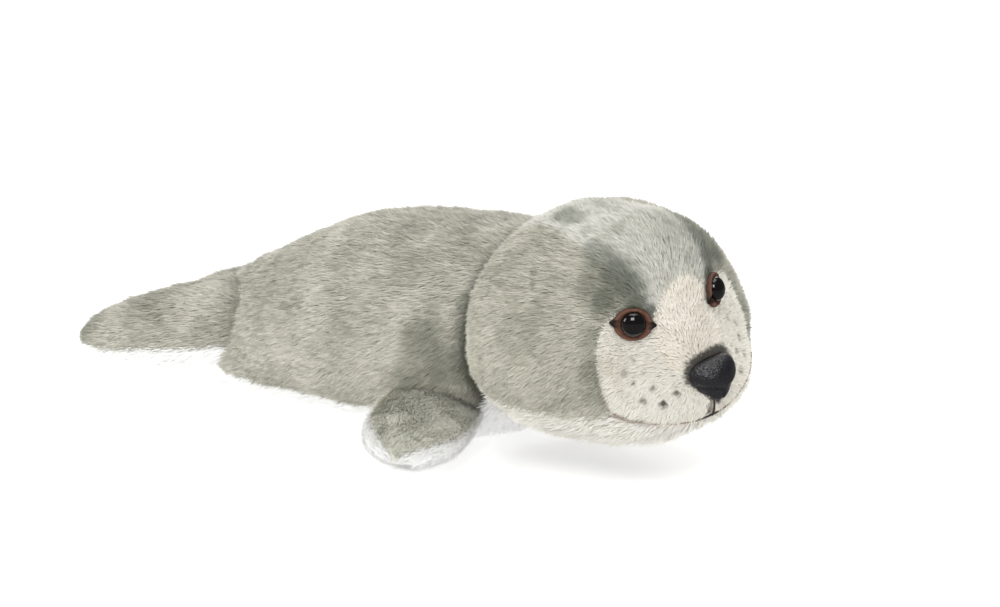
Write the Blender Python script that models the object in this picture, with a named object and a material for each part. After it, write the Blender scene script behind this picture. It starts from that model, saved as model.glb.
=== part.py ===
# A plush seal pup lying on its belly, modelled as the cut and sewn panels it is made of.
# Metres, +Z up. The head is at +X, the floor is z = 0, and -Y is the animal's right side.
from collections import namedtuple
from math import cos, exp, pi, radians, sin, tan

import bmesh
import bpy
import numpy as np
from mathutils import Matrix, Vector

# Fabric: the plush with its backing, the gap at a seam, and the clearance to the filling.
PLUSH = 0.0035
SEAM_GAP = 0.0003
CLEARANCE = 0.0003
FLIPPER_CLEARANCE = 0.0009
FILLING_CLEARANCE = 0.0012
# The round belly is pressed flat on the floor by this much, with an edge that rounds up from it.
BELLY_PRESS = 0.006
PRESS_ROUNDING = 0.002

# Torso sections from the rump to the neck: place, half width, back height, height of the widest point.
Section = namedtuple("Section", "x half_width top widest")
RUMP = Section(-0.133, 0.036, 0.062, 0.027)
HIPS = Section(-0.101, 0.046, 0.076, 0.033)
WAIST = Section(-0.035, 0.060, 0.105, 0.044)
SHOULDERS = Section(0.035, 0.065, 0.112, 0.050)
NECK = Section(0.084, 0.054, 0.112, 0.058)
BELLY_SEAM_HEIGHT = 0.013
# Under the head the chest lifts off the floor, from this place on and by this share of its depth.
CHEST_START = 0.052
CHEST_LIFT = 0.30

# The head is turned to the animal's right and leans over to that side, in degrees. It reaches over the
# front flipper there.
HEAD_SIDE = -1
HEAD_TURN = 20.0
HEAD_TILT = 11.0
TURN_START = 0.040

# Head: reach from its widest place back to the neck and forward to the snout, half width, the height
# of its middle and its reach over and under that, and how far the snout hangs.
HEAD_REACH = 0.038
HEAD_FRONT = 0.073
HEAD_HALF_WIDTH = 0.070
HEAD_UNDER = 0.051
HEAD_OVER = 0.065
HEAD_HEIGHT = 0.066
SNOUT_DROP = 0.011
NECK_ANGLE = 52.0
# Below 1 the head's rings stay fuller towards its two ends.
HEAD_FULLNESS = 0.92

# Rounded forms that swell or hollow the head: direction (turn, rise), height and spread in degrees.
Swell = namedtuple("Swell", "turn rise height spread")
MUZZLE_PAD = Swell(24.0, -18.0, 0.005, 17.0)
SNOUT = Swell(0.0, -8.0, 0.006, 15.0)
EYE_HOLLOW = Swell(25.0, 18.0, -0.006, 14.0)
BROW = Swell(15.0, 46.0, 0.0085, 27.0)
CHIN = Swell(0.0, -52.0, 0.001, 18.0)

# Seams of the head, along its length from the neck (0) to the front pole (1), and round it in degrees.
CROWN_HALF_ANGLE_NECK = 17.0
CROWN_HALF_ANGLE_EYES = 26.0
BRIDGE_HALF_ANGLE_NOSE = 62.0
BRIDGE_SEAM = 0.705
FACE_SEAM = 0.672
# The muzzle's lower seam is the mouth. It runs in to the middle, where the two muzzles meet.
MOUTH_SEAM = ((0.672, 107.0), (0.697, 104.0), (0.730, 112.0), (0.772, 119.0), (0.812, 130.0),
              (0.838, 146.0), (0.855, 168.0), (0.870, 180.0))
CHIN_FRONT = 0.845
MOUTH_GAP = 4.0
SNOUT_OPENING = 0.97

# Eyes: a moulded dome with a shank, a leather-look surround with pointed corners, and a washer that
# holds the shank behind the fabric. The pile is pressed flat under the surround. The left eye sits
# a little closer to the bridge, as on the photographed toy.
EYE_PLACE_RIGHT = 0.719
EYE_PLACE_LEFT = 0.740
EYE_ANGLE_RIGHT = 38.0
EYE_ANGLE_LEFT = 29.0
EYE_RADIUS = 0.0060
EYE_DOME = 0.0046
SHANK_RADIUS = 0.0016
SHANK_LENGTH = 0.0085
RIM_HALF_WIDTH = 0.0092
RIM_HALF_HEIGHT = 0.0080
RIM_CORNER = 0.0022
RIM_THICKNESS = 0.0009
RIM_TURN = 13.0
RIM_CORNER_START = 0.94
EYE_SEAT_DEPTH = 0.0020
WASHER_RADIUS = 0.0065
WASHER_THICKNESS = 0.0014
WASHER_DROP = 0.0008
SEAT_HEIGHT = 0.012

# Nose: a soft rounded triangle over the end of the snout, how far it sits above the front pole and to
# its left, how much narrower its lower end is, and how full its rings stay towards the front.
NOSE_HALF_WIDTH = 0.0150
NOSE_HEIGHT = 0.0215
NOSE_BULGE = 0.0080
NOSE_DEPTH = 0.0060
NOSE_RAISE = 0.0018
NOSE_SIDE = 0.0028
NOSE_TAPER = 0.45
NOSE_FULLNESS = 0.55

# Mouth thread: its radius, and the places where it starts at the corner and reaches the middle.
THREAD_RADIUS = 0.0008
MOUTH_CORNER = 0.697
MOUTH_MIDDLE = 0.860

# Flippers: root and tip places, half width and thickness of the pad, the roll about its length, and how
# far round from the top its two panels meet, in degrees, at the root and at the tip.
Flipper = namedtuple("Flipper", "root tip half_width thickness roll root_seam tip_seam")
FRONT = Flipper((0.034, -0.034, 0.022), (0.064, -0.120, 0.0145), 0.034, 0.029, 8.0, 90.0, 90.0)
HIND = Flipper((-0.100, -0.027, 0.043), (-0.203, -0.043, 0.021), 0.029, 0.050, 4.0, 114.0, 84.0)

# Below 1 a flipper stays fuller towards its tip. Its root is narrower, and its places crowd to the tip.
FLIPPER_FULLNESS = 0.62
ROOT_NARROWING = 0.80
NARROWING_START = 0.1
NARROWING_END = 0.6
TIP_CROWDING = 1.6

PILE_ROUGHNESS = 0.9
FILLING_ROUGHNESS = 0.95
EYE_ROUGHNESS = 0.08
RIM_ROUGHNESS = 0.55
NOSE_ROUGHNESS = 0.35
THREAD_ROUGHNESS = 0.8
WASHER_ROUGHNESS = 0.5

GREY = (0.45, 0.45, 0.40)
CREAM = (0.76, 0.72, 0.62)
WHITE = (0.90, 0.90, 0.88)
FILLING = (0.93, 0.93, 0.92)
BROWN = (0.16, 0.06, 0.04)
BLACK = (0.012, 0.011, 0.012)
THREAD = (0.16, 0.11, 0.08)
WASHER = (0.80, 0.80, 0.78)


def clear_scene():
    for item in list(bpy.data.objects):
        bpy.data.objects.remove(item, do_unlink=True)


def material(name, colour, roughness):
    made = bpy.data.materials.new(name)
    made.use_nodes = True
    shader = made.node_tree.nodes["Principled BSDF"]
    shader.inputs["Base Color"].default_value = (*colour, 1.0)
    shader.inputs["Roughness"].default_value = roughness
    shader.inputs["Metallic"].default_value = 0.0
    made.diffuse_color = (*colour, 1.0)
    return made


def add_object(name, points, faces, finish):
    mesh = bpy.data.meshes.new(name)
    mesh.from_pydata([tuple(p) for p in points], [], faces)
    form = bmesh.new()
    form.from_mesh(mesh)
    bmesh.ops.triangulate(form, faces=[f for f in form.faces if len(f.verts) > 4])
    bmesh.ops.recalc_face_normals(form, faces=form.faces)
    if form.calc_volume(signed=True) < 0:
        bmesh.ops.reverse_faces(form, faces=form.faces)
    form.to_mesh(mesh)
    form.free()
    mesh.shade_smooth()
    mesh.set_sharp_from_angle(angle=radians(50))
    mesh.materials.append(finish)
    made = bpy.data.objects.new(name, mesh)
    bpy.context.scene.collection.objects.link(made)
    return made


def as_guide(guide):
    guide.hide_render = True
    guide.display_type = "WIRE"
    return guide


def cut(piece, cutter):
    knife = piece.modifiers.new("cut", "BOOLEAN")
    knife.operation = "DIFFERENCE"
    knife.solver = "EXACT"
    knife.object = cutter


def smooth_step(low, high, value):
    share = min(max((value - low) / (high - low), 0.0), 1.0)
    return share * share * (3.0 - 2.0 * share)


# A height over the floor: flat on it where the form would reach under it, and rounded up from it.
def rest_on_floor(z):
    if z >= PRESS_ROUNDING:
        return z
    return max(z + PRESS_ROUNDING, 0.0) ** 2 / (4 * PRESS_ROUNDING)


# A smooth value between the torso's sections, with a tangent at each that follows its neighbours.
def between_sections(sections, name, x):
    places = [s.x for s in sections]
    values = [getattr(s, name) for s in sections]
    last = len(places) - 1
    slopes = []
    for i in range(last + 1):
        before = max(i - 1, 0)
        after = min(i + 1, last)
        slopes.append((values[after] - values[before]) / (places[after] - places[before]))
    i = min(max(int(np.searchsorted(places, x)) - 1, 0), last - 1)
    span = places[i + 1] - places[i]
    t = (x - places[i]) / span
    return (
        (2 * t**3 - 3 * t**2 + 1) * values[i]
        + (t**3 - 2 * t**2 + t) * span * slopes[i]
        + (3 * t**2 - 2 * t**3) * values[i + 1]
        + (t**3 - t**2) * span * slopes[i + 1]
    )


TORSO = [RUMP, HIPS, WAIST, SHOULDERS, NECK]
RUMP_SHARE = 0.22


# The middle line of the torso turns towards the head over its last stretch.
def turn_at(x):
    share = min(max((x - TURN_START) / (NECK.x - TURN_START), 0.0), 1.0)
    return radians(HEAD_TURN) * share, -tan(radians(HEAD_TURN)) * (NECK.x - TURN_START) * share**2 / 2


# A point of the torso's outer surface: u from the rump to the neck, v round it from the spine.
def torso_point(u, v):
    if u < RUMP_SHARE:
        angle = pi / 2 * u / RUMP_SHARE
        x = HIPS.x - (HIPS.x - RUMP.x) * cos(angle)
        closing = sin(angle)
    else:
        x = HIPS.x + (NECK.x - HIPS.x) * (u - RUMP_SHARE) / (1 - RUMP_SHARE)
        closing = 1.0
    width = between_sections(TORSO, "half_width", x) * closing
    widest = between_sections(TORSO, "widest", x)
    rise = (between_sections(TORSO, "top", x) - widest) * closing
    lift = CHEST_LIFT * smooth_step(CHEST_START, NECK.x, x)
    fall = (widest + BELLY_PRESS) * closing * (1.0 - lift)
    across = width * sin(v)
    z = widest + (rise if cos(v) > 0 else fall) * cos(v)
    turn, shift = turn_at(x)
    return Vector((x + across * sin(turn), shift + across * cos(turn), rest_on_floor(z)))


NECK_TURN, NECK_SHIFT = turn_at(NECK.x)
HEAD_AXIS = Vector((cos(NECK_TURN), -sin(NECK_TURN), 0.0))
HEAD_CENTRE = Vector((NECK.x, NECK_SHIFT, HEAD_HEIGHT)) + HEAD_AXIS * (SEAM_GAP + HEAD_REACH)
HEAD_FRAME = (
    Matrix.Translation(HEAD_CENTRE)
    @ Matrix.Rotation(-NECK_TURN, 4, "Z")
    @ Matrix.Rotation(radians(HEAD_TILT), 4, "X")
)


def direction(turn, rise):
    turn = radians(turn)
    rise = radians(rise)
    return Vector((cos(rise) * cos(turn), cos(rise) * sin(turn), sin(rise)))


def swell_height(swell, side, heading):
    aim = direction(side * swell.turn, swell.rise)
    apart = heading.angle(aim)
    return swell.height * exp(-((apart / radians(swell.spread)) ** 2))


SWELLS = [(MUZZLE_PAD, 1), (MUZZLE_PAD, -1), (SNOUT, 1), (EYE_HOLLOW, 1), (EYE_HOLLOW, -1),
          (BROW, 1), (BROW, -1), (CHIN, 1)]


# A point of the head's outer surface: u from the neck to the front pole, v round it from the crown.
def head_point(u, v):
    angle = radians(NECK_ANGLE) + (pi - radians(NECK_ANGLE)) * u
    along = -cos(angle) * (HEAD_FRONT if angle > pi / 2 else HEAD_REACH / cos(radians(NECK_ANGLE)))
    ring = sin(angle) ** HEAD_FULLNESS
    rise = HEAD_OVER if cos(v) > 0 else HEAD_UNDER
    spot = Vector((along, HEAD_HALF_WIDTH * ring * sin(v), rise * ring * cos(v)))
    if along > 0:
        heading = spot.normalized()
        fade = smooth_step(0.0, HEAD_FRONT / 2, along)
        spot += heading * fade * sum(swell_height(s, side, heading) for s, side in SWELLS)
        spot.z -= SNOUT_DROP * (along / HEAD_FRONT) ** 2
    placed = HEAD_FRAME @ spot
    placed.z = rest_on_floor(placed.z)
    return placed


# The frame of a flipper: along it, across it and out of its upper face.
def flipper_axes(flipper, side):
    root = Vector(flipper.root)
    tip = Vector(flipper.tip)
    root.y *= -side
    tip.y *= -side
    along = (tip - root).normalized()
    up = Vector((0, 0, 1))
    across = up.cross(along).normalized()
    across.rotate(Matrix.Rotation(side * radians(flipper.roll), 3, along))
    return root, tip, along, across, along.cross(across)


# A point of a flipper's outer surface: u from root to tip, v round it from the upper face's middle.
def flipper_point(flipper, side, u, v):
    root, tip, along, across, out = flipper_axes(flipper, side)
    fullness = cos(pi / 2 * u) ** FLIPPER_FULLNESS
    narrow = ROOT_NARROWING + (1.0 - ROOT_NARROWING) * smooth_step(NARROWING_START, NARROWING_END, u)
    reach = (tip - root).length * (1 - (1 - u) ** TIP_CROWDING) if u < 1 else (tip - root).length
    wide = flipper.half_width * fullness * narrow * sin(v)
    thick = flipper.thickness / 2 * fullness * cos(v)
    spot = root + along * reach + across * wide + out * thick
    spot.z = rest_on_floor(spot.z)
    return spot


STEP = 1e-4


# The surface's outward direction, from two short steps along it.
def outward(surface, u, v, centre):
    along = surface(min(u + STEP, 1.0), v) - surface(max(u - STEP, 0.0), v)
    round_it = surface(u, v + STEP) - surface(u, v - STEP)
    way = along.cross(round_it)
    if way.length < 1e-14:
        return (surface(u, v) - centre).normalized()
    way.normalize()
    if way.dot(surface(u, v) - centre) < 0:
        way.negate()
    return way


def inset_point(surface, u, v, depth, centre):
    return surface(u, v) - outward(surface, u, v, centre) * depth


# A panel: the outer surface at a list of places along it and over a range of angles round it, the
# same surface a fabric deeper, and the cut edges between them. The range is a function of the place,
# so that a seam can run at an angle.
def panel(name, surface, centre, places, v_range, round_count, finish):
    long_count = len(places) - 1
    outer = []
    inner = []
    for i, place in enumerate(places):
        for j in range(round_count + 1):
            u, v = seam_place(surface, place, v_range, i / long_count, j / round_count)
            outer.append(surface(u, v))
            inner.append(inset_point(surface, u, v, PLUSH, centre))
    total = len(outer)
    row = round_count + 1
    faces = []
    for i in range(long_count):
        for j in range(round_count):
            a = i * row + j
            faces.append((a, a + 1, a + row + 1, a + row))
            faces.append((total + a, total + a + row, total + a + row + 1, total + a + 1))
    rim = list(range(row))
    rim += [i * row + round_count for i in range(1, long_count + 1)]
    rim += [long_count * row + j for j in range(round_count - 1, -1, -1)]
    rim += [i * row for i in range(long_count - 1, 0, -1)]
    for k, a in enumerate(rim):
        b = rim[(k + 1) % len(rim)]
        faces.append((a, total + a, total + b, b))
    return add_object(name, outer + inner, faces, finish)


# Where a panel's point lies on the surface, half a seam gap in from the panel's edges.
def seam_place(surface, u, v_range, s, t):
    v_low, v_high = v_range(u)
    v = v_low + (v_high - v_low) * t
    u_size = (surface(min(u + STEP, 1.0), v) - surface(max(u - STEP, 0.0), v)).length
    u_size /= min(u + STEP, 1.0) - max(u - STEP, 0.0)
    v_size = (surface(u, v + STEP) - surface(u, v - STEP)).length / (2 * STEP)
    u += SEAM_GAP / 2 / max(u_size, 0.01) * (1 - 2 * s)
    v += SEAM_GAP / 2 / max(v_size, 0.004) * (1 - 2 * t)
    return u, v


# The filling: the surface one fabric and a clearance deeper, closed at both ends.
def core(name, surface, centre, u_range, counts, finish, depth=PLUSH + FILLING_CLEARANCE, angles=None):
    long_count, round_count = counts
    if angles is None:
        angles = [2 * pi * j / round_count for j in range(round_count)]
    points = []
    for i in range(long_count + 1):
        u = u_range[0] + (u_range[1] - u_range[0]) * i / long_count
        for angle in angles(u) if callable(angles) else angles:
            points.append(inset_point(surface, u, angle, depth, centre))
    faces = []
    for i in range(long_count):
        for j in range(round_count):
            a = i * round_count + j
            b = i * round_count + (j + 1) % round_count
            faces.append((a, b, b + round_count, a + round_count))
    first = sum((points[j] for j in range(round_count)), Vector()) / round_count
    end = long_count * round_count
    last = sum((points[end + j] for j in range(round_count)), Vector()) / round_count
    points += [first, last]
    for j in range(round_count):
        k = (j + 1) % round_count
        faces.append((len(points) - 2, k, j))
        faces.append((len(points) - 1, end + j, end + k))
    return add_object(name, points, faces, finish)


def even_steps(low, high, count):
    return [low + (high - low) * i / count for i in range(count + 1)]


TORSO_MIDDLE = Vector(((WAIST.x + SHOULDERS.x) / 2, 0.0, SHOULDERS.widest))


# The angle round the torso at which its side meets the floor-side panel, at the belly seam's height
# over the floor or over the lifted chest.
def belly_angle(u):
    low = pi / 2
    high = pi
    chest = torso_point(u, pi).z if u > RUMP_SHARE else 0.0
    for _ in range(30):
        middle = (low + high) / 2
        if torso_point(max(u, 0.02), middle).z > BELLY_SEAM_HEIGHT + chest:
            low = middle
        else:
            high = middle
    return low


RUMP_OPENING = 0.03
SIDE_STEPS = 8
BELLY_STEPS = 6
TORSO_STEPS = 16


# The filling's angles follow the steps of the panels round it.
def filling_angles(u):
    edge = belly_angle(u)
    side = [edge * j / SIDE_STEPS for j in range(SIDE_STEPS)]
    belly = [edge + (2 * pi - 2 * edge) * j / BELLY_STEPS for j in range(BELLY_STEPS)]
    return side + belly + [2 * pi - edge + angle for angle in side]


def make_torso(grey, white, filling):
    along = even_steps(RUMP_OPENING, 1.0, TORSO_STEPS)
    panel("torso_side_left", torso_point, TORSO_MIDDLE, along,
          lambda u: (0.0, belly_angle(u)), SIDE_STEPS, grey)
    panel("torso_side_right", torso_point, TORSO_MIDDLE, along,
          lambda u: (-belly_angle(u), 0.0), SIDE_STEPS, grey)
    panel("belly_panel", torso_point, TORSO_MIDDLE, along,
          lambda u: (belly_angle(u), 2 * pi - belly_angle(u)), BELLY_STEPS, white)
    steps = (TORSO_STEPS, 2 * SIDE_STEPS + BELLY_STEPS)
    core("torso_stuffing", torso_point, TORSO_MIDDLE, (RUMP_OPENING, 1.0), steps, filling,
         angles=filling_angles)


# Half the angle that the crown and bridge strip takes at each place along the head.
def strip_angle(u):
    if u < BRIDGE_SEAM:
        share = smooth_step(0.2, BRIDGE_SEAM, u)
        return radians(CROWN_HALF_ANGLE_NECK + (CROWN_HALF_ANGLE_EYES - CROWN_HALF_ANGLE_NECK) * share)
    share = (u - BRIDGE_SEAM) / (SNOUT_OPENING - BRIDGE_SEAM)
    return radians(CROWN_HALF_ANGLE_EYES + (BRIDGE_HALF_ANGLE_NOSE - CROWN_HALF_ANGLE_EYES) * share)


def lower_angle(u):
    places, angles = zip(*MOUTH_SEAM)
    return radians(float(np.interp(u, places, angles)))


CHEEK_STEPS = 9
MUZZLE_STEPS = 7


# The head's panels share their places along a seam, so their edges run side by side.
def make_head(grey, cream, white, filling):
    behind = even_steps(0.0, FACE_SEAM, CHEEK_STEPS)
    before = even_steps(BRIDGE_SEAM, SNOUT_OPENING, MUZZLE_STEPS)

    def strip(u):
        return -strip_angle(u), strip_angle(u)

    panel("crown_gusset", head_point, HEAD_CENTRE, behind + [BRIDGE_SEAM], strip, 6, grey)
    panel("face_bridge", head_point, HEAD_CENTRE, before, strip, 6, cream)
    for side, word in ((1, "left"), (-1, "right")):
        panel("cheek_" + word, head_point, HEAD_CENTRE, behind, side_range(side), 9, grey)
        face = [FACE_SEAM] + before
        panel("muzzle_" + word, head_point, HEAD_CENTRE, face, side_range(side), 9, cream)
    under = [u for u in behind + before if u < CHIN_FRONT] + [CHIN_FRONT]

    def chin(u):
        start = lower_angle(u) + radians(MOUTH_GAP) * smooth_step(FACE_SEAM, CHIN_FRONT, u)
        return start, 2 * pi - start

    panel("chin_panel", head_point, HEAD_CENTRE, under, chin, 7, white)
    return core("head_stuffing", head_point, HEAD_CENTRE, (0.0, SNOUT_OPENING), (12, 20), filling)


def side_range(side):
    if side > 0:
        return lambda u: (strip_angle(u), lower_angle(u))
    return lambda u: (-lower_angle(u), -strip_angle(u))


FLIPPER_CLOSING = 0.985
FILLING_CLOSING = 0.97
GUIDE_STEPS = (30, 32)


# The body or head a clearance larger, which trims what is sewn on to it.
def make_guide(name, surface, centre, finish):
    return as_guide(core(name, surface, centre, (0.0, 1.0), GUIDE_STEPS, finish, -FLIPPER_CLEARANCE))


def make_flipper(prefix, flipper, side, grey, white, filling, guides):
    def surface(u, v):
        return flipper_point(flipper, side, u, v)

    root, tip, along, across, out = flipper_axes(flipper, side)
    centre = (root + tip) / 2
    places = even_steps(0.0, FLIPPER_CLOSING, 6)

    def seam(u):
        return radians(flipper.root_seam + (flipper.tip_seam - flipper.root_seam) * u)

    made = [
        panel(prefix + "_upper", surface, centre, places, lambda u: (-seam(u), seam(u)), 6, grey),
        panel(prefix + "_lower", surface, centre, places, lambda u: (seam(u), 2 * pi - seam(u)), 6, white),
        core(prefix + "_stuffing", surface, centre, (0.0, FILLING_CLOSING), (6, 12), filling),
    ]
    for piece in made:
        for guide in guides:
            cut(piece, guide)


# A turned piece: a profile of (radius, height) points spun about an axis from a place.
def turned(profile, place, axis, sides):
    turn = axis.to_track_quat("Z", "Y").to_matrix()
    points = []
    for radius, height in profile:
        for k in range(sides):
            angle = 2 * pi * k / sides
            points.append(place + turn @ Vector((radius * cos(angle), radius * sin(angle), height)))
    faces = []
    rows = len(profile)
    for i in range(rows - 1):
        for k in range(sides):
            a = i * sides + k
            b = i * sides + (k + 1) % sides
            faces.append((a, b, b + sides, a + sides))
    return points, faces, rows


def turned_solid(name, profile, place, axis, sides, finish):
    points, faces, rows = turned(profile, place, axis, sides)
    faces.append(tuple(range(sides)))
    faces.append(tuple(range((rows - 1) * sides, rows * sides)))
    return add_object(name, points, faces, finish)


def turned_ring(name, profile, place, axis, sides, finish):
    points, faces, rows = turned(profile, place, axis, sides)
    for k in range(sides):
        a = (rows - 1) * sides + k
        b = (rows - 1) * sides + (k + 1) % sides
        faces.append((a, b, (k + 1) % sides, k))
    return add_object(name, points, faces, finish)


def eye_frame(side):
    angle = radians(EYE_ANGLE_LEFT) if side > 0 else -radians(EYE_ANGLE_RIGHT)
    along = EYE_PLACE_LEFT if side > 0 else EYE_PLACE_RIGHT
    return head_point(along, angle), outward(head_point, along, angle, HEAD_CENTRE)


# The surround's outline: an oval that runs out to a point at each side.
def rim_outline(angle):
    point = max(abs(cos(angle)) - RIM_CORNER_START, 0.0) / (1.0 - RIM_CORNER_START)
    reach = 1.0 + RIM_CORNER / RIM_HALF_WIDTH * point**2
    return RIM_HALF_WIDTH * cos(angle) * reach, RIM_HALF_HEIGHT * sin(angle)


def make_rim(name, side, place, axis, hole, finish):
    up = HEAD_FRAME.to_3x3() @ Vector((0, 0, 1))
    across = up.cross(axis).normalized()
    across.rotate(Matrix.Rotation(side * radians(RIM_TURN), 3, axis))
    rise = axis.cross(across)
    sides = 24
    points = []
    for height in (0.0, RIM_THICKNESS):
        for k in range(sides):
            a, b = rim_outline(2 * pi * k / sides)
            points.append(place + across * a + rise * b + axis * height)
        for k in range(sides):
            angle = 2 * pi * k / sides
            points.append(place + across * hole * cos(angle) + rise * hole * sin(angle) + axis * height)
    faces = []
    for k in range(sides):
        n = (k + 1) % sides
        faces.append((k, n, sides + n, sides + k))
        faces.append((2 * sides + k, 3 * sides + k, 3 * sides + n, 2 * sides + n))
        faces.append((k, 2 * sides + k, 2 * sides + n, n))
        faces.append((sides + k, sides + n, 3 * sides + n, 3 * sides + k))
    return add_object(name, points, faces, finish)


def make_eye(side, word, black, brown, plain, panels, stuffing):
    surface, axis = eye_frame(side)
    seat = surface - axis * EYE_SEAT_DEPTH
    seat_radius = RIM_HALF_WIDTH + RIM_CORNER + CLEARANCE
    hole = SHANK_RADIUS + CLEARANCE
    rim_base = seat + axis * CLEARANCE
    eye_base = rim_base + axis * (RIM_THICKNESS + CLEARANCE)
    dome = [(SHANK_RADIUS, -SHANK_LENGTH), (SHANK_RADIUS, 0.0), (EYE_RADIUS, 0.0)]
    for k in range(1, 6):
        angle = pi / 2 * k / 6
        dome.append((EYE_RADIUS * cos(angle), EYE_DOME * sin(angle)))
    turned_solid("eye_" + word, dome, eye_base, axis, 16, black)
    make_rim("eye_rim_" + word, side, rim_base, axis, hole, brown)
    washer_top = surface - axis * (PLUSH + WASHER_DROP)
    low = -WASHER_THICKNESS
    washer = [(hole, low), (WASHER_RADIUS, low), (WASHER_RADIUS, 0.0), (hole, 0.0)]
    turned_ring("eye_washer_" + word, washer, washer_top, axis, 12, plain)
    cutter_sides = 20
    seat_profile = [(seat_radius, 0.0), (seat_radius, SEAT_HEIGHT)]
    press = as_guide(turned_solid("eye_seat_guide_" + word, seat_profile, seat, axis, cutter_sides, plain))
    bore_profile = [(hole, -SEAT_HEIGHT), (hole, SEAT_HEIGHT)]
    bore = as_guide(turned_solid("shank_guide_" + word, bore_profile, seat, axis, 8, plain))
    pocket_radius = WASHER_RADIUS + CLEARANCE
    pocket_profile = [(pocket_radius, -WASHER_THICKNESS - CLEARANCE), (pocket_radius, SEAT_HEIGHT)]
    pocket = as_guide(turned_solid("washer_guide_" + word, pocket_profile, washer_top, axis, 12, plain))
    for piece in panels:
        cut(piece, press)
        cut(piece, bore)
    cut(stuffing, pocket)
    cut(stuffing, bore)


# The nose: rings of a rounded triangle that shrink from its back to its front.
def make_nose(finish, guide):
    pole = head_point(1.0, 0.0)
    frame = HEAD_FRAME.to_3x3()
    forward = frame @ Vector((1, 0, 0))
    up = frame @ Vector((0, 0, 1))
    across = frame @ Vector((0, 1, 0))
    middle = pole + up * NOSE_RAISE + across * NOSE_SIDE
    rings = 7
    sides = 20
    points = []
    for i in range(rings):
        share = i / rings
        size = cos(pi / 2 * share) ** NOSE_FULLNESS
        ahead = -NOSE_DEPTH + (NOSE_DEPTH + NOSE_BULGE) * sin(pi / 2 * share)
        for k in range(sides):
            angle = 2 * pi * k / sides
            fall = max(-sin(angle), 0.0)
            wide = NOSE_HALF_WIDTH * cos(angle) * (1.0 - NOSE_TAPER * fall)
            tall = NOSE_HEIGHT / 2 * sin(angle)
            points.append(middle + across * wide * size + up * tall * size + forward * ahead)
    points.append(middle + forward * NOSE_BULGE)
    faces = [tuple(range(sides))]
    for i in range(rings - 1):
        for k in range(sides):
            a = i * sides + k
            b = i * sides + (k + 1) % sides
            faces.append((a, b, b + sides, a + sides))
    top = (rings - 1) * sides
    for k in range(sides):
        faces.append((top + k, top + (k + 1) % sides, len(points) - 1))
    nose = add_object("nose", points, faces, finish)
    cut(nose, guide)


def make_mouth(finish):
    half = [(u, v) for u, v in MOUTH_SEAM if MOUTH_CORNER <= u < MOUTH_MIDDLE]
    way = [(u, -v) for u, v in half] + [(MOUTH_MIDDLE, -180.0)] + [(u, v - 360.0) for u, v in reversed(half)]
    line = bpy.data.curves.new("mouth_stitch", "CURVE")
    line.dimensions = "3D"
    line.bevel_depth = THREAD_RADIUS
    line.bevel_resolution = 1
    line.use_fill_caps = True
    strand = line.splines.new("POLY")
    steps = 4
    places = []
    for (u0, v0), (u1, v1) in zip(way, way[1:]):
        for k in range(steps):
            places.append((u0 + (u1 - u0) * k / steps, v0 + (v1 - v0) * k / steps))
    places.append(way[-1])
    strand.points.add(len(places) - 1)
    for point, (u, v) in zip(strand.points, places):
        lifted = inset_point(head_point, u, radians(v), -(THREAD_RADIUS + 2 * CLEARANCE), HEAD_CENTRE)
        point.co = (*lifted, 1.0)
    made = bpy.data.objects.new("mouth_stitch", line)
    made.data.materials.append(finish)
    bpy.context.scene.collection.objects.link(made)


def main():
    clear_scene()
    grey = material("grey_plush", GREY, PILE_ROUGHNESS)
    cream = material("cream_plush", CREAM, PILE_ROUGHNESS)
    white = material("white_plush", WHITE, PILE_ROUGHNESS)
    filling = material("fibre_filling", FILLING, FILLING_ROUGHNESS)
    black = material("black_eye_plastic", BLACK, EYE_ROUGHNESS)
    brown = material("brown_leather_look", BROWN, RIM_ROUGHNESS)
    nose_black = material("black_leather_look", BLACK, NOSE_ROUGHNESS)
    thread = material("brown_thread", THREAD, THREAD_ROUGHNESS)
    washer = material("washer_plastic", WASHER, WASHER_ROUGHNESS)
    make_torso(grey, white, filling)
    stuffing = make_head(grey, cream, white, filling)
    for side, word in ((-1, "right"), (1, "left")):
        near_eye = ("crown_gusset", "face_bridge", "cheek_" + word, "muzzle_" + word)
        make_eye(side, word, black, brown, washer, [bpy.data.objects[n] for n in near_eye], stuffing)
    body = make_guide("torso_guide", torso_point, TORSO_MIDDLE, filling)
    head = make_guide("head_guide", head_point, HEAD_CENTRE, filling)
    make_nose(nose_black, head)
    make_mouth(thread)
    for side, word in ((-1, "right"), (1, "left")):
        meets = (body, head) if side == HEAD_SIDE else (body,)
        make_flipper("front_flipper_" + word, FRONT, side, grey, white, filling, meets)
        make_flipper("hind_flipper_" + word, HIND, side, grey, white, filling, (body,))


main()
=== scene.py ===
from math import cos, degrees, pi, radians, sin, tan

import bmesh
import bpy
import numpy as np
from mathutils import Matrix, Vector, noise


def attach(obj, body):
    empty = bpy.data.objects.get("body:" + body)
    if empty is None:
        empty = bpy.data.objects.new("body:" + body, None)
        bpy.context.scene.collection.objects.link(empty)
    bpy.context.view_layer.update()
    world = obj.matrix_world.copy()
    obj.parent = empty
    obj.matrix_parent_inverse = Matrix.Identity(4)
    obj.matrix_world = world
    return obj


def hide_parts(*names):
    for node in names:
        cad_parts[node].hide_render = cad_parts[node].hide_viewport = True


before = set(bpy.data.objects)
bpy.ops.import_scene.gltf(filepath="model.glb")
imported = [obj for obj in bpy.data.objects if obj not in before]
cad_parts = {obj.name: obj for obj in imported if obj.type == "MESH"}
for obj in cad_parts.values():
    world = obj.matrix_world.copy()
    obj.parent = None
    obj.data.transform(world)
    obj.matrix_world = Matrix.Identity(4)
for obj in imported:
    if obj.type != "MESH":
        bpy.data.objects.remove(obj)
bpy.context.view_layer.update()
scene = bpy.context.scene
scene.view_settings.view_transform = "Standard"


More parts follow.
